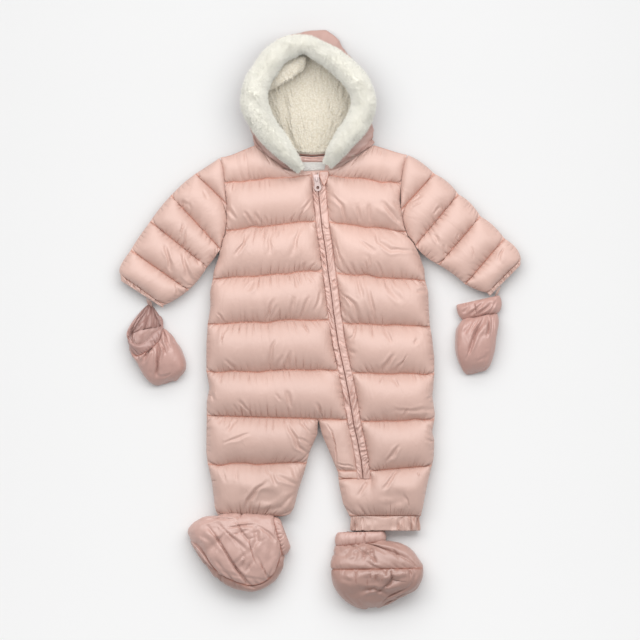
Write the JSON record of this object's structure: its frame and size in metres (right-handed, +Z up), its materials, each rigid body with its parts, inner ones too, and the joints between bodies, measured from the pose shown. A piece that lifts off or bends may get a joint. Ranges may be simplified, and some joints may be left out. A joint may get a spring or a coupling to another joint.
{
  "type": "padded baby snowsuit laid flat",
  "caption": "Quilted padded baby snowsuit laid flat on its back, with an open plush-lined hood, an off-centre front zip, tied-on mittens and booties.",
  "frame": {"origin": "middle of the underside, on the surface it lies on", "axes": "+Z up out of the front of the suit, +Y towards the hood, +X towards the wearer's left"},
  "size_m": [0.6006, 0.8612, 0.0593],
  "materials": {
    "pink_nylon": "shiny pale pink woven nylon over soft padding",
    "cream_plush": "dense short cream plush fur",
    "cream_sherpa": "looped cream sherpa lining",
    "white_label": "plain white satin label, bare",
    "pink_zip": "dark pink nylon coil zip",
    "pink_metal": "pale pink enamelled zip slider and pull"
  },
  "bodies": {
    "garment": {"back": "pink_nylon", "bootie_left": "pink_nylon", "bootie_left_collar": "pink_nylon", "bootie_left_sole": "pink_nylon", "bootie_right": "pink_nylon", "bootie_right_collar": "pink_nylon", "bootie_right_sole": "pink_nylon", "chin_guard": "pink_nylon", "front_left": "pink_nylon", "front_right": "pink_nylon", "hood_lining": "cream_sherpa", "hood_shell_centre": "pink_nylon", "hood_shell_left": "pink_nylon", "hood_shell_right": "pink_nylon", "hood_trim": "cream_plush", "label": "white_label", "leg_cuff_left": "pink_nylon", "mitten_left": "pink_nylon", "mitten_left_cuff": "pink_nylon", "mitten_right": "pink_nylon", "mitten_right_cuff": "pink_nylon", "mitten_tab_left": "pink_nylon", "mitten_tab_right": "pink_nylon", "neck_facing": "pink_nylon", "placket_left": "pink_nylon", "placket_right": "pink_nylon", "sleeve_cuff_left": "pink_nylon", "sleeve_cuff_right": "pink_nylon", "sleeve_left": "pink_nylon", "sleeve_right": "pink_nylon", "zip_chain": "pink_zip", "zip_slider": "pink_metal"},
    "zip_pull": {"zip_pull": "pink_metal"}
  },
  "joints": [
    {"name": "pull_swing", "type": "hinge", "parent": "garment", "child": "zip_pull", "pos_m": [-0.00541, 0.20949, 0.0277], "axis": [-0.9903, -0.1392, 0], "range_deg": [0, 165]}
  ]
}
